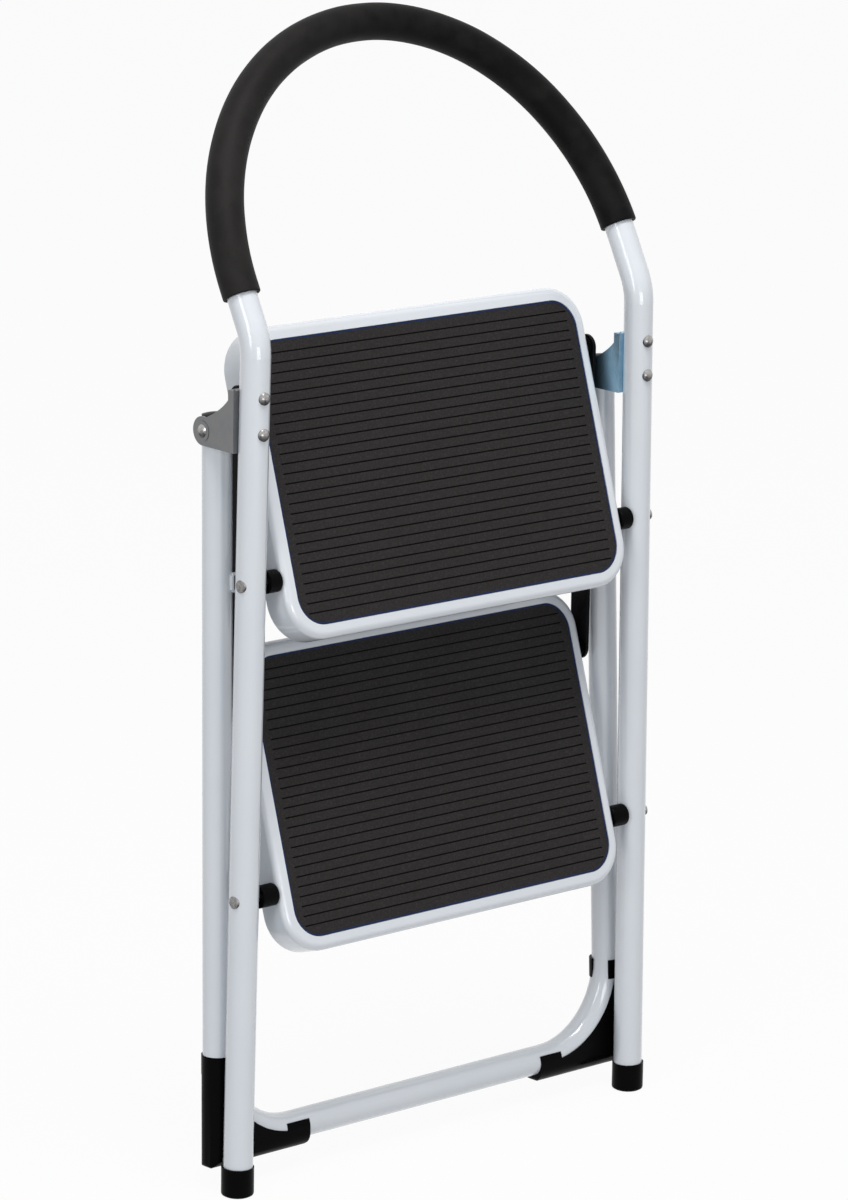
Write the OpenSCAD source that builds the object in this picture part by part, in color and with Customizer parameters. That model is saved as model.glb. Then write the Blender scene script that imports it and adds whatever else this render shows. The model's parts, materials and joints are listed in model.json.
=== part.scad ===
// Two-step folding ladder, drawn folded with the front legs upright.
// X runs across the ladder, Y from front to back, Z up from the floor.

/* [Frame tubes] */
// Outer diameter of the frame tubes
tube_d = 25; // [24:0.5:26]
// Wall thickness of the frame tubes
tube_wall = 1.2; // [1:0.1:2]

/* [Front frame] */
// Room between the steps and the front legs at the handle bend
leg_gap = 9.9; // [9:0.1:14]
// Outward slant of each front leg from the handle bend to the floor
leg_spread = 11.5; // [8:0.5:30]
// Length of leg between the hinge brackets and the handle bend
bend_rise = 38; // [30:0.5:60]
// Radius of the handle bend
handle_bend_r = 50; // [35:1:70]
// Angle by which the handle leans back from the legs
handle_lean = 28.2; // [15:0.1:32]
// Straight length from the handle bend to the arch
handle_straight = 49.7; // [40:0.1:90]

/* [Handle grip] */
// Wall thickness of the foam grip
foam_wall = 3.1; // [2.5:0.1:6]
// Straight tail of the grip below the arch on the left
grip_tail = 11.2; // [5:0.1:25]
// Angle of the arch that the grip leaves bare on the right
grip_bare_angle = 2; // [1:0.5:10]

/* [Front feet] */
// Height of the front feet below the tube ends
front_foot_h = 25; // [15:0.5:35]
// Width by which the front feet stand out round the tubes
front_foot_lip = 0.6; // [0.2:0.1:2.5]
// Rounding of the feet's lower edges
foot_round = 3; // [1:0.1:4]
// Length of the foot stems inside the tubes
foot_stem_h = 25; // [15:1:60]

/* [Rear frame] */
// Height of the crossbar axis above the floor
crossbar_z = 36.1; // [34:0.1:60]
// Gap between the front legs and the folded crossbar
crossbar_gap = 2.5; // [2:0.1:10]
// Radius of the bends between rear legs and crossbar
rear_bend_r = 75; // [60:1:90]
// Length of the rear legs above the main hinge
rear_top_rise = 10.9; // [9.5:0.1:12]

/* [Main hinges] */
// Height of the main hinge above the upper step pivot
hinge_rise = 119.5; // [118:0.1:122]
// Gap between the front legs and the rear legs at the main hinge
hinge_gap = 22.3; // [21.5:0.1:25]
// Diameter of the main hinge pins
hinge_pin_d = 8; // [6:0.5:10]
// Sheet thickness of the hinge brackets
bracket_sheet = 2; // [1.5:0.1:2.2]
// Radius of the rounded bracket ears
ear_r = 12; // [11:0.1:12.5]

/* [Steps] */
// Width of each step across the ladder
step_w = 371; // [365:0.5:374]
// Depth of each step from front to back
step_l = 258; // [230:1:262]
// Depth of the folded skirt around each step
skirt_h = 28; // [24:0.5:30]
// Sheet thickness of the steps
step_sheet = 1.5; // [1.2:0.1:2]
// Corner radius of the steps
corner_r = 36; // [25:1:45]
// Rounding of the upper rim edge
rim_round = 6; // [4:0.1:8]
// Width of the rim beside the mat
rim_side = 10.4; // [9:0.1:16]
// Width of the rim before and behind the mat
rim_front = 11.6; // [9:0.1:16]
// Depth of the mat recess below the rim
recess = 3; // [2:0.1:4]
// Angle of the folded steps from the upright
step_tilt = 17.7; // [15:0.1:18.5]
// Height of the lower step pivot above the floor
lower_pivot_z = 254; // [250:1:256]
// Room between the two folded steps along the legs
step_room = 6; // [4:0.5:20]
// Distance of the step pivots before the front leg axes
pivot_front = 2; // [0:0.1:3]
// Distance of the step pivots from the middle of a step
pivot_reach = 75; // [72:0.5:78]
// Distance of the step pivots below the rim
pivot_depth = 9; // [8.5:0.1:11]
// Diameter of the step pivots
pivot_d = 8; // [6:0.5:8.5]

/* [Mats] */
// Thickness of the rubber mats
mat_t = 2.2; // [1.8:0.1:2.8]
// Distance between the mat grooves
groove_pitch = 8.2; // [6:0.1:12]
// Width of the mat grooves
groove_w = 1.1; // [0.6:0.1:2]
// Depth of the mat grooves
groove_h = 0.9; // [0.5:0.1:1.2]
// Plain border at the groove ends
groove_border = 9; // [6:0.5:20]

/* [Link bars] */
// Width of the flat link bars
link_w = 21; // [18:0.5:22]
// Thickness of the flat link bars
link_t = 3; // [2:0.1:3.2]
// Thickness of the washers between steps and link bars
washer_t = 2.4; // [1.8:0.1:2.5]

/* [Support bar] */
// Diameter of the bar that carries the opened upper step
support_d = 12; // [10:0.5:14]
// Thickness of the flattened bar ends
support_tab_t = 3; // [2.4:0.1:3]

/* [Corner feet] */
// Wall of the corner feet around the tubes
shoe_wall = 0.8; // [0.6:0.1:1.2]
// Length of the corner feet along the crossbar, from the leg axis
shoe_len = 88.8; // [78:0.1:110]
// Drop of the round keel below the tube
shoe_drop = 5; // [3:0.1:6]
// Height of the clip ring's top above the crossbar axis
clip_top = 78; // [70:1:90]
// Height of the clip ring
clip_h = 17; // [12:0.5:22]

/* [Motion] */
// Angle through which the rear frame opens
fold_range = 38; // [34:0.5:40]
// Angle through which the steps turn as the frame opens
step_range = 53.9; // [50:0.1:55]

/* [Hidden] */
$fn = 96;

// clearances and the overrun of cuts
run_gap = 0.05;
face_gap = 0.3;
over = 1;

// straight tubes are drawn slightly slimmer than bends and lap a little way into their ends
joint_step = 0.04;
joint_lap = 0.6;

// tubes
tube_r = tube_d / 2;
bore_r = tube_r - tube_wall;
foam_r = tube_r + foam_wall;
skirt_x = step_w / 2;
bend_x = skirt_x + leg_gap + tube_r;
foot_x = bend_x + leg_spread;
step_pitch = step_l + step_room;
upper_pivot_z = lower_pivot_z + step_pitch;
hinge_z = upper_pivot_z + hinge_rise;
ear_rise = 40.5;
ear_peak_z = hinge_z + ear_rise;
bend_height = ear_peak_z + bend_rise;
front_foot_r = tube_r + front_foot_lip;
splay = atan((foot_x - bend_x) / bend_height);
leg_len = bend_height / cos(splay);
function leg_x(z) = foot_x - z * tan(splay);

handle_dir = [0, sin(handle_lean), cos(handle_lean)];
handle_angle = acos(cos(splay) * cos(handle_lean));
handle_cut = handle_bend_r * tan(handle_angle / 2);

// rear frame plane
crossbar_y = tube_d + crossbar_gap;
hinge_y = tube_d + hinge_gap;
rear_top_z = hinge_z + rear_top_rise;
rear_tilt = atan((hinge_y - crossbar_y) / (hinge_z - crossbar_z));
rear_x = leg_x(crossbar_z);
rear_len = (rear_top_z - crossbar_z) / cos(rear_tilt) / cos(splay);
hinge_len = (hinge_z - crossbar_z) / cos(rear_tilt);
rear_cut = rear_bend_r * tan((90 + splay) / 2);
shoe_end_x = rear_x - shoe_len;
plug_t = 2;
plug_stem = 18;

// hinge hardware
hinge_x = leg_x(hinge_z);
ear_play = 0.7;
ear_gap = tube_r + ear_play;
ear_out = ear_gap + bracket_sheet;
saddle_share = 0.6;
saddle_y = saddle_share * tube_r;
saddle_back = tube_r + bracket_sheet;
ear_curve_shares = [0.68, 1.95, 0.3, 0.96];
ear_boss_r = 8.5;
ear_boss_t = 0.5;
pin_head_r = 5.5;
pin_head_t = 2.4;
pin_tail_t = 1.4;
bush_t = 0.35;
bush_r = 10;
rivet_r = 2.5;
rivet_head_r = 5.25;
rivet_head_t = 3;
rivet_head_skirt = 2;
head_rim = 0.6;
bracket_rivet_low = 4.7;
bracket_rivet_high = 34.1;
bracket_rivet_zs = [hinge_z + bracket_rivet_low, hinge_z + bracket_rivet_high];

// steps: local y runs up the slope of the folded step, local z out of its tread
pivot_r = pivot_d / 2;
pivot_head_r = 5.25;
pivot_head_t = 0.6;
pivot_head_skirt = 3.5;
pivot_tail_t = 1.8;
hem = 6;
rim_inner_r = rim_round - step_sheet;
tail_reach = max(0, pivot_head_r - pivot_depth + rim_round);
tail_x = skirt_x - step_sheet - run_gap - rim_inner_r + sqrt(rim_inner_r * rim_inner_r - tail_reach * tail_reach);
tread_y = -pivot_front + pivot_reach * sin(step_tilt) - pivot_depth * cos(step_tilt);
link_y = -pivot_front + 2 * pivot_reach * sin(step_tilt);
link_rise = 2 * pivot_reach * cos(step_tilt);
recess_w = step_w - 2 * rim_side;
recess_l = step_l - 2 * rim_front;
mat_r = corner_r - rim_side - 2 * face_gap;
mat_w = recess_w - 2 * face_gap;
mat_l = recess_l - 2 * face_gap;
groove_count = 2 * floor((mat_l / 2 - groove_border) / groove_pitch) + 1;
spacer_r = 9.5;
spacer_round = 2;
hat_w = 100;
hat_flange = 14;
hat_h = 9;
hat_sheet = 1.2;
hat_end_gap = 12;

// link bars and washers
washer_r = 9;
link_x = skirt_x + washer_t + 2 * run_gap;
link_head_r = 6;
link_head_t = 2.4;

// support bar: the skirts of the opened upper step come to lie on it, and folded it passes before the link bars
support_r = support_d / 2;
tab_h = 16;
tab_taper = 0.4;
tab_inset = 1;
tab_room = 0.65;
tab_bite = 1.2;
tab_start = link_x - tab_inset;
weld_r = 2.2;
function turn(p, a) = [p[0] * cos(a) - p[1] * sin(a), p[0] * sin(a) + p[1] * cos(a)];
tread_open = step_tilt + step_range;
up_open = [sin(tread_open), cos(tread_open)];
out_open = [-cos(tread_open), sin(tread_open)];
tread_mid_open = [-pivot_front, upper_pivot_z] + pivot_reach * up_open + pivot_depth * out_open;
leg_down_open = turn([-sin(rear_tilt), -cos(rear_tilt)], fold_range);
leg_front_open = turn([-cos(rear_tilt), sin(rear_tilt)], fold_range);
support_n = -(skirt_h + support_r + face_gap);
support_reach = hinge_y + support_tab_t / 2 - link_y + link_w / 2 + tab_room;
front_share = leg_front_open * out_open;
support_s = (support_n - ([hinge_y, hinge_z] - tread_mid_open) * out_open
    - front_share * support_reach / cos(rear_tilt)) / (leg_down_open * out_open - front_share * tan(rear_tilt));
support_off = (support_reach - support_s * sin(rear_tilt)) / cos(rear_tilt);
support_w = hinge_len - support_s;
tab_back = support_off - support_tab_t / 2;
tab_end = rear_x - support_w * tan(splay) - sqrt(max(0, tube_r * tube_r - tab_back * tab_back)) + tab_bite;
support_v = ([hinge_y, hinge_z] + support_s * leg_down_open + support_off * leg_front_open
    - tread_mid_open) * up_open;

// catches under the upper step
catch_x = 70;
catch_w = 26;
catch_front = 9;
catch_wall = 6;
catch_lip = 4;
catch_gap = 0.5;

// corner feet
shoe_r = tube_r + shoe_wall;
shoe_round = 5;
shoe_top = 3;
clip_r = tube_r + 1.7;
clip_shift = 1;
clip_open_from = 34;
clip_open_to = 100;

// the whole ladder is centred on the origin in Y
slope_low = step_l / 2 - rim_round;
y_front = tread_y - slope_low * sin(step_tilt) + rim_round * cos(step_tilt) - rim_round;
y_back = (handle_straight + bend_x) * sin(handle_lean) + foam_r;
y_shift = -(y_front + y_back) / 2;

function unit(v) = v / norm(v);
function angle_of(a, b) = acos(a * b);
function bezier(a, b, c, n) = [for (i = [0 : n]) let (t = i / n)
    (1 - t) * (1 - t) * a + 2 * t * (1 - t) * b + t * t * c];

// Mirror image for the left side of the ladder
module flip(side) {
    if (side < 0) mirror([1, 0, 0]) children();
    else children();
}

// Frames of reference
module place() { translate([0, y_shift, 0]) children(); }
module on_leg(side) { translate([side * foot_x, 0, 0]) rotate([0, -side * splay, 0]) children(); }
module on_rear() { translate([0, crossbar_y, crossbar_z]) rotate([-rear_tilt, 0, 0]) children(); }
module on_rear_leg(side) { on_rear() translate([side * rear_x, 0, 0]) rotate([0, -side * splay, 0]) children(); }
module on_step(pivot_z) {
    translate([0, -pivot_front, pivot_z]) rotate([90 - step_tilt, 0, 0])
        translate([0, pivot_reach, pivot_depth]) children();
}
module along_x(x) { translate([x, 0, 0]) rotate([0, 90, 0]) children(); }

// Round bar of radius r round a corner at p, from direction a to direction b
module bend(p, a, b, turn_r, r) {
    angle = angle_of(a, b);
    m = unit(b - (a * b) * a);
    c = p - a * turn_r * tan(angle / 2) + m * turn_r;
    z = cross(-m, a);
    multmatrix([[-m[0], a[0], z[0], c[0]], [-m[1], a[1], z[1], c[1]],
            [-m[2], a[2], z[2], c[2]], [0, 0, 0, 1]])
        rotate_extrude(angle = angle) translate([turn_r, 0]) circle(r = r);
}

// Low round head of radius r and height h
module dome(r, h) {
    ball = (r * r + h * h) / (2 * h);
    intersection() {
        translate([0, 0, h - ball]) sphere(r = ball);
        cylinder(r = 2 * r, h = h);
    }
}

// Rivet head on a straight skirt that reaches down past a round tube's crest
module skirted_head(r, skirt, h) {
    ball = (r * r + h * h) / (2 * h);
    rotate([0, 0, 90]) rotate_extrude() {
        square([r, skirt]);
        intersection() {
            translate([0, skirt + h - ball]) circle(r = ball);
            translate([0, skirt]) square([2 * r, h]);
        }
    }
}

// Rounded rectangle
module plate(w, l, r) {
    square([w - 2 * r, l], center = true);
    square([w, l - 2 * r], center = true);
    for (x = [-1, 1], y = [-1, 1]) translate([x * (w / 2 - r), y * (l / 2 - r)]) circle(r = r);
}

// Front frame: two legs, two bends and the handle arch in one bent tube
module arch(r, from, to) {
    translate([0, 0, bend_height] + handle_straight * handle_dir) rotate([90 - handle_lean, 0, 0])
        rotate([0, 0, from]) rotate_extrude(angle = to - from) translate([bend_x, 0]) circle(r = r);
}
module handle_piece(side, r, from, to) {
    translate([side * bend_x, 0, bend_height]) rotate([-handle_lean, 0, 0])
        translate([0, 0, from]) cylinder(r = r - joint_step, h = to - from);
}
module front_run(r, start) {
    for (side = [-1, 1]) {
        on_leg(side) translate([0, 0, start])
            cylinder(r = r - joint_step, h = leg_len - handle_cut - start + joint_lap);
        bend([side * bend_x, 0, bend_height], [-side * sin(splay), 0, cos(splay)], handle_dir,
            handle_bend_r, r);
        handle_piece(side, r, handle_cut - joint_lap, handle_straight + joint_lap);
    }
    arch(r, 0, 180);
}
module front_frame() {
    color("whitesmoke") difference() {
        front_run(tube_r, front_foot_h);
        front_run(bore_r, front_foot_h - over);
        for (side = [-1, 1]) {
            for (z = [lower_pivot_z, upper_pivot_z])
                translate([side * leg_x(z) - tube_d, -pivot_front, z]) rotate([0, 90, 0])
                    cylinder(r = pivot_r + run_gap, h = 2 * tube_d);
            for (z = bracket_rivet_zs)
                translate([side * leg_x(z), tube_d, z]) rotate([90, 0, 0])
                    cylinder(r = rivet_r + run_gap, h = 2 * tube_d);
        }
    }
}

module handle_grip() {
    color("dimgray") difference() {
        union() {
            arch(foam_r, grip_bare_angle, 180);
            handle_piece(-1, foam_r, handle_straight - grip_tail, handle_straight + joint_lap);
        }
        arch(tube_r + run_gap, 0, 180);
        handle_piece(-1, tube_r + run_gap, 0, handle_straight + joint_lap);
    }
}

// Front foot: a plastic foot under the tube with a stem up inside it
module foot_profile(r, h, edge) {
    square([r - edge, h]);
    translate([0, edge]) square([r, h - edge]);
    translate([r - edge, edge]) circle(r = edge);
}
module front_foot(side) {
    color("black") {
        difference() {
            translate([side * foot_x, 0, 0]) rotate_extrude()
                foot_profile(front_foot_r, front_foot_h + over, foot_round);
            on_leg(side) translate([-tube_d, -tube_d, front_foot_h]) cube([2 * tube_d, 2 * tube_d, tube_d]);
        }
        on_leg(side) translate([0, 0, front_foot_h - over])
            cylinder(r = bore_r - run_gap, h = foot_stem_h + over);
    }
}

// Hinge bracket: two ears joined by a saddle behind the leg
module ear_outline() {
    s = ear_curve_shares;
    top = bezier([saddle_y, ear_peak_z], [saddle_y + s[0] * tube_r, hinge_z + s[1] * ear_r],
        [hinge_y - s[2] * ear_r, hinge_z + s[3] * ear_r], 10);
    polygon(concat([[saddle_y, hinge_z - ear_r], [hinge_y, hinge_z - ear_r], [hinge_y, hinge_z]],
        [for (i = [len(top) - 1 : -1 : 0]) top[i]]));
    translate([hinge_y, hinge_z]) circle(r = ear_r);
}
module hinge_bracket(side) {
    color("slategray") difference() {
        union() {
            for (x = [-ear_out, ear_gap]) translate([side * hinge_x + x, 0, 0])
                rotate([90, 0, 90]) linear_extrude(bracket_sheet) ear_outline();
            translate([side * hinge_x - ear_out, saddle_y, hinge_z - ear_r])
                cube([2 * ear_out, saddle_back - saddle_y, ear_r + bracket_rivet_zs[1] - hinge_z + 2 * rivet_r]);
            for (x = [-ear_out - ear_boss_t, ear_out - bracket_sheet / 2])
                translate([side * hinge_x + x, hinge_y, hinge_z]) rotate([0, 90, 0])
                    cylinder(r = ear_boss_r, h = ear_boss_t + bracket_sheet / 2);
        }
        on_leg(side) cylinder(r = tube_r + run_gap, h = leg_len);
        translate([side * hinge_x - ear_gap, saddle_back, hinge_z - 2 * ear_r])
            cube([2 * ear_gap, 3 * hinge_y, 5 * ear_r]);
        translate([side * hinge_x - 2 * ear_out, hinge_y, hinge_z]) rotate([0, 90, 0])
            cylinder(r = hinge_pin_d / 2 + run_gap, h = 4 * ear_out);
        for (z = bracket_rivet_zs) translate([side * leg_x(z), saddle_back + over, z]) rotate([90, 0, 0])
            cylinder(r = rivet_r + run_gap, h = tube_d);
    }
}
module bracket_rivets() {
    color("silver") for (side = [-1, 1], z = bracket_rivet_zs) translate([side * leg_x(z), 0, z]) {
        rotate([90, 0, 0]) translate([0, 0, -saddle_back])
            cylinder(r = rivet_r, h = saddle_back + tube_r + head_rim / 2);
        difference() {
            rotate([90, 0, 0]) translate([0, 0, tube_r - rivet_head_skirt])
                skirted_head(rivet_head_r, rivet_head_skirt + head_rim, rivet_head_t - head_rim);
            rotate([0, -side * splay, 0])
                cylinder(r = tube_r + run_gap / 2, h = 4 * rivet_head_r, center = true);
        }
        translate([0, saddle_back, 0]) rotate([-90, 0, 0]) dome(rivet_head_r, pin_tail_t);
    }
}
module hinge_pins() {
    color("silver") for (side = [-1, 1]) translate([side * hinge_x, hinge_y, hinge_z]) flip(side) {
        along_x(-ear_out - ear_boss_t) cylinder(r = hinge_pin_d / 2, h = 2 * (ear_out + ear_boss_t));
        along_x(ear_out + ear_boss_t) dome(pin_head_r, pin_head_t);
        along_x(-ear_out - ear_boss_t) mirror([0, 0, 1]) dome(pin_head_r, pin_tail_t);
    }
}

// Step pivots: a rivet through the leg, a spacer and the step's skirt
module step_pivot_pins() {
    color("silver") for (side = [-1, 1], z = [lower_pivot_z, upper_pivot_z]) flip(side)
        translate([0, -pivot_front, z]) {
            along_x(tail_x - head_rim / 2) cylinder(r = pivot_r, h = leg_x(z) + tube_r + head_rim - tail_x);
            along_x(tail_x) mirror([0, 0, 1]) dome(pivot_head_r, pivot_tail_t);
            difference() {
                along_x(leg_x(z) + tube_r - pivot_head_skirt)
                    skirted_head(pivot_head_r, pivot_head_skirt + head_rim, pivot_head_t);
                translate([leg_x(z), pivot_front, 0]) rotate([0, splay, 180])
                    cylinder(r = tube_r + run_gap / 2, h = 4 * pivot_head_r, center = true);
            }
        }
}
module step_spacers() {
    color("black") for (side = [-1, 1], z = [lower_pivot_z, upper_pivot_z]) flip(side)
        translate([0, -pivot_front, z]) difference() {
            along_x(skirt_x + face_gap) rotate_extrude()
                foot_profile(spacer_r, leg_x(z + spacer_r) - tube_r - run_gap - skirt_x - face_gap, spacer_round);
            along_x(skirt_x) cylinder(r = pivot_r + run_gap, h = tube_d);
        }
}

// Rear frame: one tube bent twice, with the crossbar near the floor
module rear_run(r, extra) {
    rotate([0, 90, 0])
        cylinder(r = r - joint_step, h = 2 * (rear_x - rear_cut + joint_lap), center = true);
    for (side = [-1, 1]) {
        bend([side * rear_x, 0, 0], [side, 0, 0], [-side * sin(splay), 0, cos(splay)], rear_bend_r, r);
        translate([side * rear_x, 0, 0]) rotate([0, -side * splay, 0])
            translate([0, 0, rear_cut - joint_lap])
                cylinder(r = r - joint_step, h = rear_len + extra - rear_cut + joint_lap);
    }
}
module rear_frame() {
    color("whitesmoke") on_rear() difference() {
        rear_run(tube_r, 0);
        rear_run(bore_r, over);
        for (side = [-1, 1]) translate([side * hinge_x, 0, hinge_len]) rotate([0, 90, 0])
            cylinder(r = hinge_pin_d / 2 + run_gap, h = 2 * tube_d, center = true);
    }
}
module rear_plug(side) {
    color("black") on_rear_leg(side) difference() {
        union() {
            translate([0, 0, rear_len]) cylinder(r = tube_r, h = plug_t / 2);
            translate([0, 0, rear_len + plug_t / 2]) dome(tube_r, plug_t);
            translate([0, 0, rear_len - plug_stem]) cylinder(r = bore_r - run_gap, h = plug_stem);
        }
        translate([0, 0, hinge_len / cos(splay)]) rotate([0, 90, 0])
            cylinder(r = hinge_pin_d / 2 + face_gap, h = 2 * tube_d, center = true);
        translate([-tube_d, -hinge_pin_d / 2 - face_gap, rear_len - plug_stem - over])
            cube([2 * tube_d, hinge_pin_d + 2 * face_gap, hinge_len / cos(splay) - rear_len + plug_stem + over]);
    }
}

// Thin washers between the rear legs and the bracket ears
module hinge_bushes() {
    color("black") for (side = [-1, 1], x = [-1, 1])
        on_rear() translate([side * hinge_x + x * (ear_gap - bush_t / 2 - run_gap), 0, hinge_len])
            rotate([0, 90, 0]) difference() {
                cylinder(r = bush_r, h = bush_t, center = true);
                cylinder(r = hinge_pin_d / 2 + run_gap, h = 2 * bush_t, center = true);
            }
}

// Corner foot: a shoe with a round keel under the bend and a clip round the leg
module shoe_profile(side_x) {
    low = -shoe_r - shoe_drop;
    difference() {
        union() {
            translate([shoe_end_x, low + shoe_round])
                square([side_x - shoe_end_x + 2 * shoe_r, clip_top - low - shoe_round]);
            translate([shoe_end_x + shoe_round, low])
                square([side_x + shoe_r - shoe_end_x - 2 * shoe_round, shoe_round]);
            for (x = [shoe_end_x + shoe_round, side_x + shoe_r - shoe_round])
                translate([x, low + shoe_round]) circle(r = shoe_round);
        }
        translate([side_x - rear_cut, rear_bend_r]) circle(r = rear_bend_r);
        translate([shoe_end_x - over, shoe_top])
            square([side_x - rear_cut - shoe_end_x + over, clip_top]);
        translate([side_x - rear_cut - over, rear_bend_r])
            square([rear_cut + over, clip_top]);
    }
}
module corner_foot(side) {
    low = -shoe_r - shoe_drop;
    color("black") on_rear() flip(side) difference() {
        union() {
            intersection() {
                translate([0, shoe_r, 0]) rotate([90, 0, 0]) linear_extrude(2 * shoe_r) shoe_profile(rear_x);
                union() {
                    translate([shoe_end_x - over, -shoe_r, -shoe_drop])
                        cube([rear_x - shoe_end_x + 3 * shoe_r, 2 * shoe_r, clip_top + shoe_drop]);
                    translate([shoe_end_x - over, 0, -shoe_drop]) rotate([0, 90, 0])
                        cylinder(r = shoe_r, h = rear_x - shoe_end_x + 3 * shoe_r);
                }
                translate([rear_x, 0, 0]) rotate([0, -splay, 0]) union() {
                    translate([0, 0, low - over]) cylinder(r = shoe_r, h = clip_top - low);
                    translate([shoe_end_x - rear_x - 2 * shoe_r, -shoe_r, low - shoe_r])
                        cube([rear_x - shoe_end_x + 2 * shoe_r, 2 * shoe_r, clip_top - low + shoe_r]);
                }
            }
            translate([rear_x, 0, 0]) rotate([0, -splay, 0]) translate([0, 0, clip_top - clip_h])
                linear_extrude(clip_h) clip_outline();
        }
        rear_clear();
    }
}
module clip_outline() {
    difference() {
        translate([-clip_shift * sin(45), clip_shift * cos(45)]) circle(r = clip_r - clip_shift / 2);
        polygon([[0, 0], 2 * tube_d * [-sin(clip_open_from), -cos(clip_open_from)],
            2 * tube_d * [-sin(clip_open_from) - 1, -cos(clip_open_from)],
            2 * tube_d * [-sin(clip_open_to), -cos(clip_open_to)]]);
    }
}
module rear_clear() {
    rear_run(tube_r + run_gap, 0);
}

// Support bar: flattened at both ends and welded to the insides of the rear legs
module support_bar() {
    color("black") on_rear() translate([0, -support_off, support_w]) difference() {
        union() {
            rotate([0, 90, 0]) cylinder(r = support_r, h = 2 * (tab_start - tab_taper), center = true);
            for (side = [-1, 1]) flip(side) {
                hull() {
                    translate([tab_start - tab_taper - over, 0, 0]) rotate([0, 90, 0])
                        cylinder(r = support_r, h = over, $fn = 32);
                    translate([tab_start, -support_tab_t / 2, -tab_h / 2]) cube([over, support_tab_t, tab_h]);
                }
                translate([tab_start, -support_tab_t / 2, -tab_h / 2])
                    cube([tab_end - tab_start, support_tab_t, tab_h]);
                translate([tab_end, 0, 0]) cylinder(r = weld_r, h = tab_h - 2 * weld_r, center = true);
            }
        }
        translate([0, support_off, -support_w]) rear_clear();
    }
}

// Step: a pressed sheet pan with rolled rim, recess for the mat and hemmed skirt
module rim_profile() {
    translate([corner_r - step_sheet, -skirt_h]) square([step_sheet, skirt_h - rim_round]);
    translate([corner_r - step_sheet - hem, -skirt_h]) square([hem + step_sheet, step_sheet]);
    intersection() {
        translate([corner_r - rim_round, -rim_round]) difference() {
            circle(r = rim_round);
            circle(r = rim_round - step_sheet);
        }
        translate([corner_r - rim_round, -rim_round]) square(rim_round);
    }
    translate([corner_r - rim_round - over, -step_sheet]) square([over, step_sheet]);
}
module rim_sweep() {
    for (i = [0 : 3]) {
        across = i % 2 == 0;
        half = (across ? step_w : step_l) / 2 - corner_r;
        reach = (across ? step_l : step_w) / 2 - corner_r;
        rotate([0, 0, i * 90]) {
            translate([-half, reach, 0]) rotate([90, 0, 90]) linear_extrude(2 * half) rim_profile();
            translate([half, reach, 0]) rotate_extrude(angle = 90) rim_profile();
        }
    }
}
module step_pan() {
    difference() {
        union() {
            rim_sweep();
            translate([0, 0, -step_sheet]) linear_extrude(step_sheet) difference() {
                plate(step_w - 2 * rim_round, step_l - 2 * rim_round, corner_r - rim_round);
                plate(recess_w, recess_l, mat_r + face_gap);
            }
            translate([0, 0, -recess - step_sheet]) linear_extrude(recess + step_sheet) difference() {
                plate(recess_w + 2 * step_sheet, recess_l + 2 * step_sheet, mat_r + face_gap + step_sheet);
                plate(recess_w, recess_l, mat_r + face_gap);
            }
            translate([0, 0, -recess - step_sheet]) linear_extrude(step_sheet)
                plate(recess_w + 2 * step_sheet, recess_l + 2 * step_sheet, mat_r + face_gap + step_sheet);
        }
        for (v = [-pivot_reach, pivot_reach]) translate([0, v, -pivot_depth]) rotate([0, 90, 0])
            cylinder(r = pivot_r + run_gap, h = 2 * step_w, center = true);
    }
}
module step_mat() {
    translate([0, 0, -recess]) difference() {
        linear_extrude(mat_t) plate(mat_w, mat_l, mat_r);
        for (i = [0 : groove_count - 1])
            translate([-mat_w / 2 + groove_border,
                    (i - (groove_count - 1) / 2) * groove_pitch - groove_w / 2, mat_t - groove_h])
                cube([mat_w - 2 * groove_border, groove_w, groove_h + over]);
    }
}
module stiffener() {
    length = recess_w - 2 * hat_end_gap;
    top = -recess - step_sheet;
    translate([-length / 2, 0, top]) rotate([90, 0, 90]) linear_extrude(length) {
        for (side = [-1, 1]) flip(side) {
            translate([hat_w / 2, -hat_sheet]) square([hat_flange, hat_sheet]);
            translate([hat_w / 2 - hat_sheet, -hat_h]) square([hat_sheet, hat_h]);
        }
        translate([-hat_w / 2, -hat_h]) square([hat_w, hat_sheet]);
    }
}
module upper_step() { color("whitesmoke") on_step(upper_pivot_z) step_pan(); }
module lower_step() { color("whitesmoke") on_step(lower_pivot_z) step_pan(); }
module upper_mat() { color("dimgray") on_step(upper_pivot_z) step_mat(); }
module lower_mat() { color("dimgray") on_step(lower_pivot_z) step_mat(); }
module upper_stiffener() { color("lightgray") on_step(upper_pivot_z) stiffener(); }
module lower_stiffener() { color("lightgray") on_step(lower_pivot_z) stiffener(); }

// Catch: a plastic saddle under the upper step that drops over the support bar
module upper_catch(side) {
    top = -recess - step_sheet - hat_h;
    reach = support_r + catch_gap;
    color("black") on_step(upper_pivot_z) translate([side * catch_x - catch_w / 2, 0, 0]) difference() {
        translate([0, support_v - catch_front, support_n - catch_lip])
            cube([catch_w, catch_front + reach + catch_wall, top - support_n + catch_lip]);
        translate([-over, support_v, support_n]) rotate([0, 90, 0]) cylinder(r = reach, h = catch_w + 2 * over);
        translate([-over, support_v - 2 * reach, support_n - 2 * reach])
            cube([catch_w + 2 * over, 3 * reach, 2 * reach]);
        translate([-over, support_v - 2 * reach, support_n - reach])
            cube([catch_w + 2 * over, 2 * reach, 2 * reach]);
    }
}

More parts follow.
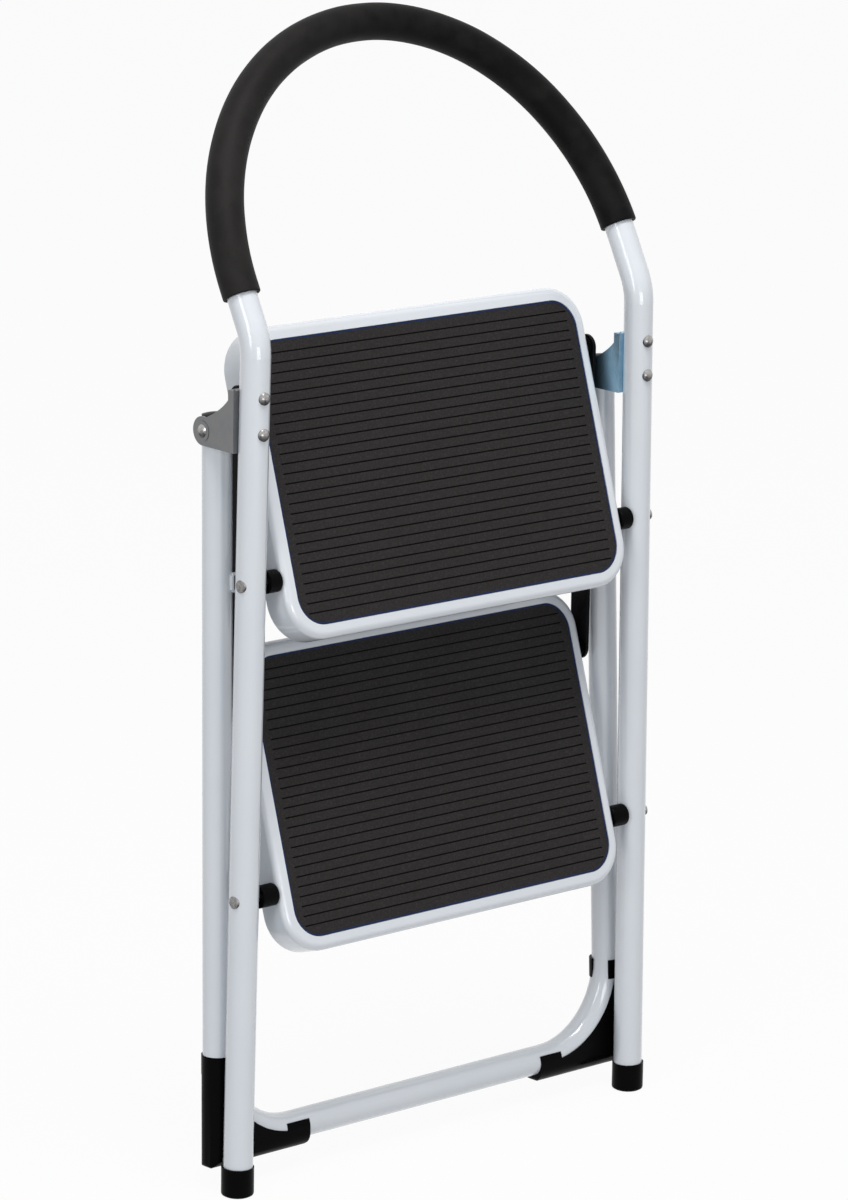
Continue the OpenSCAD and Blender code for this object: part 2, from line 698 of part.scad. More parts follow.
// Link pins and washers: local to a step, at its rear pivots
module link_pins() {
    head_x = link_x + link_t + run_gap;
    for (side = [-1, 1]) flip(side) translate([0, pivot_reach, -pivot_depth]) {
        along_x(tail_x - head_rim / 2) cylinder(r = pivot_r, h = head_x - tail_x + head_rim);
        along_x(tail_x) mirror([0, 0, 1]) dome(pivot_head_r, pivot_tail_t);
        along_x(head_x) dome(link_head_r, link_head_t);
    }
}
module link_washers() {
    for (side = [-1, 1]) flip(side) translate([0, pivot_reach, -pivot_depth])
        along_x(skirt_x + run_gap) difference() {
            cylinder(r = washer_r, h = washer_t);
            cylinder(r = pivot_r + run_gap, h = 3 * washer_t, center = true);
        }
}
module upper_link_pins() { color("silver") on_step(upper_pivot_z) link_pins(); }
module lower_link_pins() { color("silver") on_step(lower_pivot_z) link_pins(); }
module upper_washers() { color("black") on_step(upper_pivot_z) link_washers(); }
module lower_washers() { color("black") on_step(lower_pivot_z) link_washers(); }

// Link bar: joins the rear pivots of both steps on one side
module link_bar(side) {
    color("black") flip(side) translate([link_x, link_y, lower_pivot_z + link_rise])
        rotate([90, 0, 90]) linear_extrude(link_t) difference() {
            union() {
                translate([-link_w / 2, 0]) square([link_w, step_pitch]);
                for (z = [0, step_pitch]) translate([0, z]) circle(r = link_w / 2);
            }
            for (z = [0, step_pitch]) translate([0, z]) circle(r = pivot_r + run_gap);
        }
}

place() front_frame();
place() handle_grip();
place() front_foot(-1);  // front_foot_left
place() front_foot(1);  // front_foot_right
place() hinge_bracket(-1);  // hinge_bracket_left
place() hinge_bracket(1);  // hinge_bracket_right
place() bracket_rivets();
place() hinge_pins();
place() step_pivot_pins();
place() step_spacers();
place() rear_frame();
place() rear_plug(-1);  // rear_plug_left
place() rear_plug(1);  // rear_plug_right
place() hinge_bushes();
place() corner_foot(-1);  // corner_foot_left
place() corner_foot(1);  // corner_foot_right
place() support_bar();
place() upper_step();
place() upper_mat();
place() upper_stiffener();
place() upper_catch(-1);  // upper_catch_left
place() upper_catch(1);  // upper_catch_right
place() upper_link_pins();
place() upper_washers();
place() lower_step();
place() lower_mat();
place() lower_stiffener();
place() lower_link_pins();
place() lower_washers();
place() link_bar(-1);  // link_bar_left
place() link_bar(1);  // link_bar_right
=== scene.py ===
import json
import math
import bpy
import bmesh
from mathutils import Matrix, Vector, noise as mathNoise


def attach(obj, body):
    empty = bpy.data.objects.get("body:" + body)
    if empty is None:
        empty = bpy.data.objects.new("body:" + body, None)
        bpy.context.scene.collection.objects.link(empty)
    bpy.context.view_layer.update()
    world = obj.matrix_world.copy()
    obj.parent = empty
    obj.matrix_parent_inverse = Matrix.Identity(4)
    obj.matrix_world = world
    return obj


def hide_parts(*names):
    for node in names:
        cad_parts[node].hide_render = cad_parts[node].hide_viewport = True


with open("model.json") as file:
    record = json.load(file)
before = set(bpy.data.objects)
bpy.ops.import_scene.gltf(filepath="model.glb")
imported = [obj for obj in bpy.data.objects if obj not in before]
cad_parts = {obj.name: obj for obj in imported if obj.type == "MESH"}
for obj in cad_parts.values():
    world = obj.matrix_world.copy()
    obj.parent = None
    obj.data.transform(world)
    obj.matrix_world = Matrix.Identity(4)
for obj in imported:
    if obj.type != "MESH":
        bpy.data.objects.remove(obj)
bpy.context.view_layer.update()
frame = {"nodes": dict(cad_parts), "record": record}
nodes = frame["nodes"]
scene = bpy.context.scene
scene.view_settings.view_transform = "Standard"
print("frame loaded:", len(nodes), "nodes")

cameraValues = {
    "turn": 40.842,           # degrees round the ladder, from straight in front
    "height": 13.681,         # degrees above level
    "roll": 0.978,            # degrees
    "distance": 4.3118,       # metres
    "target": (-0.02609, -0.05538, 0.47784),
    "lens": 104.047,          # mm
    "sensorHeight": 24.0,
    "near": 0.05,             # metres
    "far": 60.0,
}


def makeCamera(v):
    turn, height, roll = (math.radians(v[k]) for k in ("turn", "height", "roll"))
    away = Vector((-math.sin(turn) * math.cos(height), -math.cos(turn) * math.cos(height), math.sin(height)))
    right = (-away).cross(Vector((0, 0, 1))).normalized()
    up = right.cross(-away)
    rolledRight = right * math.cos(roll) + up * math.sin(roll)
    rolledUp = up * math.cos(roll) - right * math.sin(roll)
    data = bpy.data.cameras.new("photoCamera")
    data.sensor_fit = "VERTICAL"
    data.sensor_height = v["sensorHeight"]
    data.lens = v["lens"]
    data.clip_start, data.clip_end = v["near"], v["far"]
    camera = bpy.data.objects.new("photoCamera", data)
    camera.matrix_world = Matrix.Translation(Vector(v["target"]) + away * v["distance"]) @ Matrix(
        (rolledRight, rolledUp, away)).transposed().to_4x4()
    scene.collection.objects.link(camera)
    scene.camera = camera


makeCamera(cameraValues)

studioValues = {
    "floorColor": (0.66, 0.66, 0.66),
    "floorGlow": 0.95,         # share of plain white that the camera sees in the floor
    "floorRadius": 22,
    "floorSides": 64,
    "worldColor": (0.93, 0.96, 1.0),
    "worldStrength": 0.33,
    "aim": (0, 0, 0.5),
    "lamps": [                 # name, place, size, power, colour
        ("topSoftbox", (-0.5, -0.9, 3.4), (1.8, 1.2), 78, (1.0, 0.985, 0.965)),
        ("leftSoftbox", (-3.4, -1.2, 1.8), (0.9, 2.2), 25, (0.95, 0.975, 1.0)),
        ("frontSoftbox", (-1.3, -4.0, 0.7), (1.8, 1.0), 24, (0.96, 0.98, 1.0)),
    ],
}


def mathNode(tree, operation, a, b, clamp=False):
    node = tree.nodes.new("ShaderNodeMath")
    node.operation = operation
    node.use_clamp = clamp
    for socket, value in zip(node.inputs, (a, b)):
        if isinstance(value, (int, float)):
            socket.default_value = value
        else:
            tree.links.new(value, socket)
    return node.outputs[0]


def anyRay(tree, rays):
    path = tree.nodes.new("ShaderNodeLightPath")
    found = path.outputs[rays[0]]
    for ray in rays[1:]:
        found = mathNode(tree, "MAXIMUM", found, path.outputs[ray])
    return found


def makeWorld(v):
    # soft light for the object, plain white behind it
    world = bpy.data.worlds.new("studioWorld")
    world.use_nodes = True
    scene.world = world
    tree = world.node_tree
    tree.nodes.clear()
    out = tree.nodes.new("ShaderNodeOutputWorld")
    soft = tree.nodes.new("ShaderNodeBackground")
    soft.inputs["Color"].default_value = (*v["worldColor"], 1)
    soft.inputs["Strength"].default_value = v["worldStrength"]
    white = tree.nodes.new("ShaderNodeBackground")
    white.inputs["Color"].default_value = (1, 1, 1, 1)
    white.inputs["Strength"].default_value = 1.0
    mix = tree.nodes.new("ShaderNodeMixShader")
    tree.links.new(anyRay(tree, ("Is Camera Ray", "Is Glossy Ray", "Is Transmission Ray")), mix.inputs[0])
    tree.links.new(soft.outputs[0], mix.inputs[1])
    tree.links.new(white.outputs[0], mix.inputs[2])
    tree.links.new(mix.outputs[0], out.inputs["Surface"])


def makeFloor(v):
    material = bpy.data.materials.new("paleFloor")
    material.use_nodes = True
    tree = material.node_tree
    tree.nodes.clear()
    out = tree.nodes.new("ShaderNodeOutputMaterial")
    matt = tree.nodes.new("ShaderNodeBsdfDiffuse")
    matt.inputs["Color"].default_value = (*v["floorColor"], 1)
    glow = tree.nodes.new("ShaderNodeEmission")
    glow.inputs["Strength"].default_value = 1.0
    seen = anyRay(tree, ("Is Camera Ray", "Is Glossy Ray"))
    mix = tree.nodes.new("ShaderNodeMixShader")
    tree.links.new(mathNode(tree, "MULTIPLY", seen, v["floorGlow"]), mix.inputs[0])
    tree.links.new(matt.outputs[0], mix.inputs[1])
    tree.links.new(glow.outputs[0], mix.inputs[2])
    tree.links.new(mix.outputs[0], out.inputs["Surface"])
    shape = bmesh.new()
    bmesh.ops.create_circle(shape, cap_ends=True, segments=v["floorSides"], radius=v["floorRadius"])
    mesh = bpy.data.meshes.new("floor")
    shape.to_mesh(mesh)
    shape.free()
    mesh.materials.append(material)
    floor = bpy.data.objects.new("floor", mesh)
    scene.collection.objects.link(floor)


def makeLamps(v):
    for name, place, size, power, color in v["lamps"]:
        data = bpy.data.lights.new(name, "AREA")
        data.shape = "RECTANGLE"
        data.size, data.size_y = size
        data.energy = power
        data.color = color
        lamp = bpy.data.objects.new(name, data)
        lamp.location = place
        toward = Vector(v["aim"]) - Vector(place)
        lamp.rotation_euler = toward.to_track_quat("-Z", "Y").to_euler()
        scene.collection.objects.link(lamp)


makeWorld(studioValues)
makeFloor(studioValues)
makeLamps(studioValues)
print("camera and studio set")


def startGroup(name, inputs, outputs):
    group = bpy.data.node_groups.new(name, "ShaderNodeTree")
    for label, kind, value in inputs:
        socket = group.interface.new_socket(label, in_out="INPUT", socket_type=kind)
        socket.default_value = value
    for label, kind in outputs:
        group.interface.new_socket(label, in_out="OUTPUT", socket_type=kind)
    return group, group.nodes.new("NodeGroupInput"), group.nodes.new("NodeGroupOutput")


def link(tree, start, end):
    tree.links.new(start, end)


def mapRange(tree, value, low, high, toLow=0.0, toHigh=1.0):
    node = tree.nodes.new("ShaderNodeMapRange")
    tree.links.new(value, node.inputs["Value"])
    for label, number in (("From Min", low), ("From Max", high), ("To Min", toLow), ("To Max", toHigh)):
        if isinstance(number, (int, float)):
            node.inputs[label].default_value = number
        else:
            tree.links.new(number, node.inputs[label])
    return node.outputs[0]


def noise(tree, vector, scale, detail=2.0, rough=0.5):
    node = tree.nodes.new("ShaderNodeTexNoise")
    node.inputs["Detail"].default_value = detail
    node.inputs["Roughness"].default_value = rough
    tree.links.new(vector, node.inputs["Vector"])
    if isinstance(scale, (int, float)):
        node.inputs["Scale"].default_value = scale
    else:
        tree.links.new(scale, node.inputs["Scale"])
    return node.outputs["Fac"]


def mixColor(tree, fac, a, b):
    node = tree.nodes.new("ShaderNodeMix")
    node.data_type = "RGBA"
    for socket, value in ((node.inputs[0], fac), (node.inputs[6], a), (node.inputs[7], b)):
        if isinstance(value, (int, float)):
            socket.default_value = value
        elif isinstance(value, (tuple, list)):
            socket.default_value = (*value[:3], 1)
        else:
            tree.links.new(value, socket)
    return node.outputs[2]


def grainGroup():
    # moulded or cast grain: fine noise with a coarser roll under it
    group, i, o = startGroup("mouldedGrain", [
        ("Vector", "NodeSocketVector", (0, 0, 0)), ("Fine Scale", "NodeSocketFloat", 1800.0),
        ("Coarse Scale", "NodeSocketFloat", 120.0), ("Coarse Share", "NodeSocketFloat", 0.3)],
        [("Height", "NodeSocketFloat"), ("Mask", "NodeSocketFloat")])
    fine = noise(group, i.outputs["Vector"], i.outputs["Fine Scale"], 2.0, 0.6)
    coarse = noise(group, i.outputs["Vector"], i.outputs["Coarse Scale"], 3.0, 0.5)
    part = mathNode(group, "MULTIPLY", coarse, i.outputs["Coarse Share"])
    link(group, mathNode(group, "ADD", fine, part), o.inputs["Height"])
    link(group, mapRange(group, coarse, 0.35, 0.65), o.inputs["Mask"])
    return group


def dustGroup():
    # dust that settles on faces that look up, broken by noise
    group, i, o = startGroup("settledDust", [
        ("Vector", "NodeSocketVector", (0, 0, 0)), ("Scale", "NodeSocketFloat", 90.0),
        ("Amount", "NodeSocketFloat", 0.3)],
        [("Mask", "NodeSocketFloat")])
    geometry = group.nodes.new("ShaderNodeNewGeometry")
    split = group.nodes.new("ShaderNodeSeparateXYZ")
    link(group, geometry.outputs["Normal"], split.inputs[0])
    upward = mapRange(group, split.outputs["Z"], -0.1, 0.9)
    patches = mapRange(group, noise(group, i.outputs["Vector"], i.outputs["Scale"], 4.0, 0.65), 0.42, 0.72)
    both = mathNode(group, "MULTIPLY", upward, patches)
    link(group, mathNode(group, "MULTIPLY", both, i.outputs["Amount"], clamp=True), o.inputs["Mask"])
    return group


def specksGroup():
    # small light marks, sparse, as on used rubber and foam
    group, i, o = startGroup("lightSpecks", [
        ("Vector", "NodeSocketVector", (0, 0, 0)), ("Scale", "NodeSocketFloat", 60.0),
        ("Size", "NodeSocketFloat", 0.08)],
        [("Mask", "NodeSocketFloat")])
    cells = group.nodes.new("ShaderNodeTexVoronoi")
    cells.feature = "F1"
    link(group, i.outputs["Vector"], cells.inputs["Vector"])
    link(group, i.outputs["Scale"], cells.inputs["Scale"])
    near = mathNode(group, "LESS_THAN", cells.outputs["Distance"], i.outputs["Size"])
    keep = group.nodes.new("ShaderNodeSeparateColor")
    link(group, cells.outputs["Color"], keep.inputs[0])
    few = mathNode(group, "GREATER_THAN", keep.outputs[0], 0.72)
    link(group, mathNode(group, "MULTIPLY", near, few), o.inputs["Mask"])
    return group


mouldedGrain, settledDust, lightSpecks = grainGroup(), dustGroup(), specksGroup()


def startMaterial(name):
    material = bpy.data.materials.new(name)
    material.use_nodes = True
    tree = material.node_tree
    shader = tree.nodes["Principled BSDF"]
    place = tree.nodes.new("ShaderNodeTexCoord").outputs["Object"]
    return material, tree, shader, place


def useGroup(tree, group, **values):
    node = tree.nodes.new("ShaderNodeGroup")
    node.node_tree = group
    for label, value in values.items():
        socket = node.inputs[label.replace("_", " ")]
        if isinstance(value, (int, float)):
            socket.default_value = value
        else:
            tree.links.new(value, socket)
    return node


def grainOf(tree, place, v):
    fine, coarse, share = v["grain"]
    return useGroup(
        tree, mouldedGrain, Vector=place, Fine_Scale=fine, Coarse_Scale=coarse, Coarse_Share=share)


def coordinate(tree, vector, axis):
    split = tree.nodes.new("ShaderNodeSeparateXYZ")
    tree.links.new(vector, split.inputs[0])
    return split.outputs[axis]


def setRoughness(tree, shader, share, v):
    link(tree, mapRange(tree, share, 0.0, 1.0, *v["roughness"]), shader.inputs["Roughness"])
    if "sheen" in v:
        shader.inputs["Specular IOR Level"].default_value = v["sheen"]


def bump(tree, height, depth, shader):
    node = tree.nodes.new("ShaderNodeBump")
    node.inputs["Strength"].default_value, node.inputs["Distance"].default_value = depth
    tree.links.new(height, node.inputs["Height"])
    tree.links.new(node.outputs[0], shader.inputs["Normal"])


paintFinish = {
    "color": (0.67, 0.70, 0.74),
    "shadeColor": (0.65, 0.685, 0.73),
    "roughness": (0.16, 0.26),
    "grain": (420.0, 14.0, 0.4),   # fine scale, coarse scale, share of the coarse one
    "coat": 0.8,
    "coatRoughness": 0.06,
    "bump": (0.06, 0.0006),        # strength, height in metres of the slight orange peel
}


def makePaint(v):
    material, tree, shader, place = startMaterial("whitePowderCoat")
    grain = grainOf(tree, place, v)
    shade = mixColor(tree, grain.outputs["Mask"], v["color"], v["shadeColor"])
    link(tree, shade, shader.inputs["Base Color"])
    setRoughness(tree, shader, grain.outputs["Mask"], v)
    shader.inputs["Coat Weight"].default_value = v["coat"]
    shader.inputs["Coat Roughness"].default_value = v["coatRoughness"]
    bump(tree, grain.outputs["Height"], v["bump"], shader)
    return material


foamFinish = {
    "color": (0.0030, 0.0027, 0.0027),
    # the worn tone, also used for the painted sheen on the left side
    "worn": (0.0200, 0.0186, 0.0182),
    "paintedSheenFrom": 0.02,         # metres from the middle, where the painted sheen begins
    "paintedSheenTo": -0.19,
    "paintedSheenMost": 0.6,
    "patches": 0.3,
    "roughness": (0.46, 0.60),
    "sheen": 0.07,
    "grain": (1500.0, 45.0, 0.5),
    "pores": 900.0,
    "bump": (0.35, 0.0004),
}


def makeFoam(v):
    material, tree, shader, place = startMaterial("gripFoam")
    grain = grainOf(tree, place, v)
    pores = tree.nodes.new("ShaderNodeTexVoronoi")
    pores.inputs["Scale"].default_value = v["pores"]
    link(tree, place, pores.inputs["Vector"])
    pits = mapRange(tree, pores.outputs["Distance"], 0.0, 0.35)
    # the left side is painted lighter, a painted sheen for the light from the left, added to the random worn
    # patches
    left = mapRange(tree, coordinate(tree, place, "X"), v["paintedSheenFrom"], v["paintedSheenTo"], 0.0, v["paintedSheenMost"])
    patches = mapRange(tree, grain.outputs["Mask"], 0.2, 0.9, 0.0, v["patches"])
    wearAndSheen = mathNode(tree, "ADD", left, patches, clamp=True)
    link(tree, mixColor(tree, wearAndSheen, v["color"], v["worn"]), shader.inputs["Base Color"])
    setRoughness(tree, shader, grain.outputs["Mask"], v)
    bump(tree, mathNode(tree, "ADD", grain.outputs["Height"], pits), v["bump"], shader)
    return material


rubberFinish = {
    "color": (0.0190, 0.0172, 0.0168),
    "pale": (0.040, 0.0365, 0.036),
    "dusty": (0.070, 0.065, 0.060),
    "roughness": (0.48, 0.60),
    "sheen": 0.10,
    "grain": (1300.0, 30.0, 0.25),
    "dust": (520.0, 0.05),         # scale, amount
    "specks": (55.0, 0.022),       # scale, size
    "speckShare": 0.35,
    "speckle": (700.0, 0.6),       # scale, amount
    "bump": (0.5, 0.0003),
}


def makeRubber(v):
    material, tree, shader, place = startMaterial("matRubber")
    grain = grainOf(tree, place, v)
    dust = useGroup(tree, settledDust, Vector=place, Scale=v["dust"][0], Amount=v["dust"][1])
    specks = useGroup(tree, lightSpecks, Vector=place, Scale=v["specks"][0], Size=v["specks"][1])
    speckle = mapRange(tree, noise(tree, place, v["speckle"][0], 1.0), 0.45, 0.72, 0.0, v["speckle"][1])
    body = mixColor(tree, speckle, v["color"], v["pale"])
    marks = mathNode(tree, "MULTIPLY", specks.outputs["Mask"], v["speckShare"])
    marks = mathNode(tree, "ADD", dust.outputs["Mask"], marks, clamp=True)
    link(tree, mixColor(tree, marks, body, v["dusty"]), shader.inputs["Base Color"])
    setRoughness(tree, shader, grain.outputs["Mask"], v)
    bump(tree, grain.outputs["Height"], v["bump"], shader)
    return material


# painted shade: the mats' grooves and side walls get this far darker rubber, for the shade in them
grooveShadeFinish = {
    "color": (0.0030, 0.0028, 0.0030),
    "worn": (0.0048, 0.00448, 0.0048),
    "roughness": (0.48, 0.60),
    "sheen": 0.05,
    "grain": (1300.0, 80.0, 0.3),
}


def makeGrooveShade(v):
    material, tree, shader, place = startMaterial("matGrooveShade")
    grain = grainOf(tree, place, v)
    link(tree, mixColor(tree, grain.outputs["Mask"], v["color"], v["worn"]), shader.inputs["Base Color"])
    setRoughness(tree, shader, grain.outputs["Mask"], v)
    return material


plasticFinish = {
    "color": (0.0014, 0.0014, 0.0015),
    "scuffed": (0.006, 0.006, 0.0063),
    "roughness": (0.24, 0.36),
    "sheen": 0.035,
    "grain": (1600.0, 60.0, 0.2),
    "specks": (160.0, 0.05),
    "speckShare": 0.6,
    "bump": (0.18, 0.0003),
}


def makePlastic(v):
    material, tree, shader, place = startMaterial("blackPlastic")
    grain = grainOf(tree, place, v)
    specks = useGroup(tree, lightSpecks, Vector=place, Scale=v["specks"][0], Size=v["specks"][1])
    scuffs = mathNode(tree, "MULTIPLY", specks.outputs["Mask"], v["speckShare"])
    link(tree, mixColor(tree, scuffs, v["color"], v["scuffed"]), shader.inputs["Base Color"])
    setRoughness(tree, shader, grain.outputs["Mask"], v)
    bump(tree, grain.outputs["Height"], v["bump"], shader)
    return material


blackSteelFinish = {
    "color": (0.0045, 0.0045, 0.0052),
    "rubbed": (0.03, 0.03, 0.031),
    "roughness": (0.26, 0.38),
    "sheen": 0.06,
    "grain": (500.0, 40.0, 0.4),
    "rubs": (140.0, 0.5),          # scale, amount
    "bump": (0.10, 0.0005),
}


def makeBlackSteel(v):
    material, tree, shader, place = startMaterial("blackPaintedSteel")
    grain = grainOf(tree, place, v)
    rubbed = mapRange(tree, noise(tree, place, v["rubs"][0], 5.0, 0.7), 0.66, 0.74, 0.0, v["rubs"][1])
    link(tree, mixColor(tree, rubbed, v["color"], v["rubbed"]), shader.inputs["Base Color"])
    setRoughness(tree, shader, grain.outputs["Mask"], v)
    bump(tree, grain.outputs["Height"], v["bump"], shader)
    return material


zincFinish = {
    "color": (0.195, 0.195, 0.197),
    "blue": (0.16, 0.175, 0.19),
    "metallic": 0.9,
    "roughness": (0.30, 0.48),
    "brushing": (1600.0, 0.06),    # scale, stretch in height
    "clouds": (55.0, 0.8),         # scale, amount
    "bump": (0.08, 0.0003),
}
# copy of the zinc for the right bracket: painted lighter and bluer for the light on it, with painted shade
# towards the back
blueZincFinish = {
    **zincFinish,
    "color": (0.38, 0.57, 0.70),
    "blue": (0.24, 0.43, 0.57),
    "roughness": (0.26, 0.42),
    "darkFrom": -0.043,       # metres in depth, where the painted shade begins
    "darkTo": -0.022,
    "darkMost": 0.93,
    "dark": (0.072, 0.129, 0.171),
}


def makeZinc(name, v):
    material, tree, shader, place = startMaterial(name)
    stretch = tree.nodes.new("ShaderNodeMapping")
    stretch.inputs["Scale"].default_value = (1.0, 1.0, v["brushing"][1])
    link(tree, place, stretch.inputs["Vector"])
    brushed = noise(tree, stretch.outputs[0], v["brushing"][0], 3.0, 0.6)
    clouds = mapRange(tree, noise(tree, place, v["clouds"][0], 3.0, 0.6), 0.42, 0.66, 0.0, v["clouds"][1])
    sheet = mixColor(tree, clouds, v["color"], v["blue"])
    if "dark" in v:
        # painted shade: darker towards the back of the bracket
        depth = mapRange(tree, coordinate(tree, place, "Y"), v["darkFrom"], v["darkTo"], 0.0, v["darkMost"])
        sheet = mixColor(tree, depth, sheet, v["dark"])
    link(tree, sheet, shader.inputs["Base Color"])
    shader.inputs["Metallic"].default_value = v["metallic"]
    link(tree, mapRange(tree, brushed, 0.3, 0.7, *v["roughness"]), shader.inputs["Roughness"])
    bump(tree, brushed, v["bump"], shader)
    return material


rivetFinish = {
    "color": (0.42, 0.41, 0.40),
    "dark": (0.05, 0.05, 0.055),
    "roughness": (0.18, 0.34),
    # strength of the painted shade under each head
    "shadeBelow": 0.9,
    "specks": (420.0, 0.55),       # scale, amount
    "bump": (0.12, 0.0003),
}


def makeRivet(v):
    material, tree, shader, place = startMaterial("rivetSteel")
    # painted shade: the underside of each head is painted darker, where shade falls
    facing = coordinate(tree, tree.nodes.new("ShaderNodeNewGeometry").outputs["Normal"], "Z")
    paintedShade = mapRange(tree, facing, 0.35, -0.35, 0.0, v["shadeBelow"])
    specks = mapRange(tree, noise(tree, place, v["specks"][0], 5.0, 0.7), 0.48, 0.72, 0.0, v["specks"][1])
    marks = mathNode(tree, "ADD", paintedShade, specks, clamp=True)
    link(tree, mixColor(tree, marks, v["color"], v["dark"]), shader.inputs["Base Color"])
    shader.inputs["Metallic"].default_value = 1.0
    setRoughness(tree, shader, marks, v)
    bump(tree, marks, v["bump"], shader)
    return material


finishes = {
    "frame_paint": makePaint(paintFinish),
    "grip_foam": makeFoam(foamFinish),
    "mat_rubber": makeRubber(rubberFinish),
    "black_plastic": makePlastic(plasticFinish),
    "black_steel": makeBlackSteel(blackSteelFinish),
    "zinc_sheet": makeZinc("zincPlatedSheet", zincFinish),
    "rivet_steel": makeRivet(rivetFinish),
}
matGrooveShade = makeGrooveShade(grooveShadeFinish)
blueZinc = makeZinc("blueZincSheet", blueZincFinish)     # the right bracket gets a lighter, bluer copy of the zinc, painted light for how it is lit
print("finishes made:", len(finishes))

slotOf = {s["node"]: s["material_slot"] for s in frame["record"]["subparts"]}
bodyOf = {n: body for body, names in frame["record"]["behaviour"]["bodies"].items() for n in names}

# the front legs, as the CAD places them
legValues = {
    "y": -0.05594,             # metres in depth
    "footX": 0.2194,           # leg axis at the floor
    "slant": 0.01606,          # metres inward for each metre up
    "radius": 0.0125,
}

# the folded steps, as the CAD places them
stepValues = {
    "pivots": {"upper": 0.518, "lower": 0.254},              # heights above the floor
    "tilt": 17.7,              # degrees from upright
    "pivotFront": 0.002,       # metres before the leg axes
    "pivotDepth": 0.009,       # tread face before the pivot
    "recess": 0.003,
    "matTop": 0.0022,
}

dressValues = {
    "mergeWithin": 0.000005,   # metres
    "dropBelow": 0.000002,
    "sharpAngle": 32,          # degrees; edges turning more than this stay crisp
    "grooveBelow": 0.0002,     # metres under the mat top, where the grooves' painted shade begins
    "footProud": 0.0006,       # metres by which a front foot stands out round its tube
    "footSkin": 0.0124,        # only its outer skin moves
    "footTop": 0.0262,
    "headShare": 0.35,         # height kept by the pressed pivot heads
    "paintedBeyond": 0.199,    # the support bar's welded ends carry the frame's paint
    "roundParts": 2,
    "roundAngle": 38,          # degrees; edges turning more than this are rounded
    "edgeRound": {             # metres of rounding on crisp edges
        "upper_mat": 0.00018, "lower_mat": 0.00018,
        "front_foot_left": 0.0006, "front_foot_right": 0.0006,
        "corner_foot_left": 0.0006, "corner_foot_right": 0.0006,
        "hinge_bracket_left": 0.00035, "hinge_bracket_right": 0.00035,
        "step_spacers": 0.0004, "support_bar": 0.0004,
        "link_bar_left": 0.0003, "link_bar_right": 0.0003,
        "upper_catch_left": 0.0006, "upper_catch_right": 0.0006,
    },
}


def markGrooveShade(shape, pivotHeight, v, step):
    tilt = math.radians(step["tilt"])
    outward = Vector((0, -math.cos(tilt), math.sin(tilt)))
    pivot = Vector((0, legValues["y"] - step["pivotFront"], pivotHeight))
    top = pivot + outward * (step["pivotDepth"] - step["recess"] + step["matTop"])
    # faces below the mat top get the grooves' painted shade
    for face in shape.faces:
        if (face.calc_center_median() - top).dot(outward) < -v["grooveBelow"]:
            face.material_index = 1


def swellFoot(shape, side, v, leg):
    # the foot stands a little proud of its tube
    for vert in shape.verts:
        out = Vector((vert.co.x - side * leg["footX"], vert.co.y - leg["y"], 0))
        if out.length > v["footSkin"] and vert.co.z < v["footTop"]:
            vert.co += out.normalized() * v["footProud"]


def pressHeads(shape, v, leg):
    # the pivots' heads lie nearly flush with the legs
    for vert in shape.verts:
        crest = leg["footX"] - leg["slant"] * vert.co.z + leg["radius"]
        if abs(vert.co.x) > crest:
            vert.co.x = math.copysign(crest + (abs(vert.co.x) - crest) * v["headShare"], vert.co.x)


def paintEnds(shape, v):
    for face in shape.faces:
        if abs(face.calc_center_median().x) > v["paintedBeyond"]:
            face.material_index = 1


def smoothCopy(name, v):
    shape = bmesh.new()
    shape.from_mesh(nodes[name].data)
    bmesh.ops.remove_doubles(shape, verts=shape.verts, dist=v["mergeWithin"])
    bmesh.ops.dissolve_degenerate(shape, edges=shape.edges, dist=v["dropBelow"])
    for face in shape.faces:
        face.smooth = True
    for edge in shape.edges:
        edge.smooth = len(edge.link_faces) == 2 and edge.calc_face_angle() < math.radians(v["sharpAngle"])
    if name in ("upper_mat", "lower_mat"):
        markGrooveShade(shape, stepValues["pivots"][name[:5]], v, stepValues)
    if name in ("front_foot_left", "front_foot_right"):
        swellFoot(shape, -1 if name == "front_foot_left" else 1, v, legValues)
    if name == "step_pivot_pins":
        pressHeads(shape, v, legValues)
    if name == "support_bar":
        paintEnds(shape, v)
    mesh = bpy.data.meshes.new(name + "Dressed")
    shape.to_mesh(mesh)
    shape.free()
    mesh.materials.append(blueZinc if name == "hinge_bracket_right" else finishes[slotOf[name]])
    if name in ("upper_mat", "lower_mat"):
        mesh.materials.append(matGrooveShade)
    if name == "support_bar":
        mesh.materials.append(finishes["frame_paint"])
    piece = bpy.data.objects.new(name + "Dressed", mesh)
    scene.collection.objects.link(piece)
    if name in v["edgeRound"]:
        soften = piece.modifiers.new("softEdges", "BEVEL")
        soften.width = v["edgeRound"][name]
        soften.segments = v["roundParts"]
        soften.limit_method = "ANGLE"
        soften.angle_limit = math.radians(v["roundAngle"])
        soften.harden_normals = True
    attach(piece, bodyOf[name])
    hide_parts(name)


for name in sorted(nodes):
    if name == "handle_grip":
        continue
    smoothCopy(name, dressValues)
print("CAD pieces dressed")

# foam grip: one tube slid over the hoop, with its tail on the left leg
gripValues = {
    "bendHeight": 0.716,
    "archRadius": 0.2079,
    "lean": 28.2,              # degrees
    "straight": 0.0497,
    "foamRadius": 0.0156,
    "sides": 48,
    "wall": 0.00304,
    "tail": 0.0112,
    "tailParts": 4,
    "bareAngle": 2.0,          # degrees of the arch left bare at the right
    "endRound": 0.0011,
    "endParts": 3,
    "endAngle": 60,
    "steps": 178,
    "dents": 0.00022,
    "dentsPerMetre": 26.0,
}


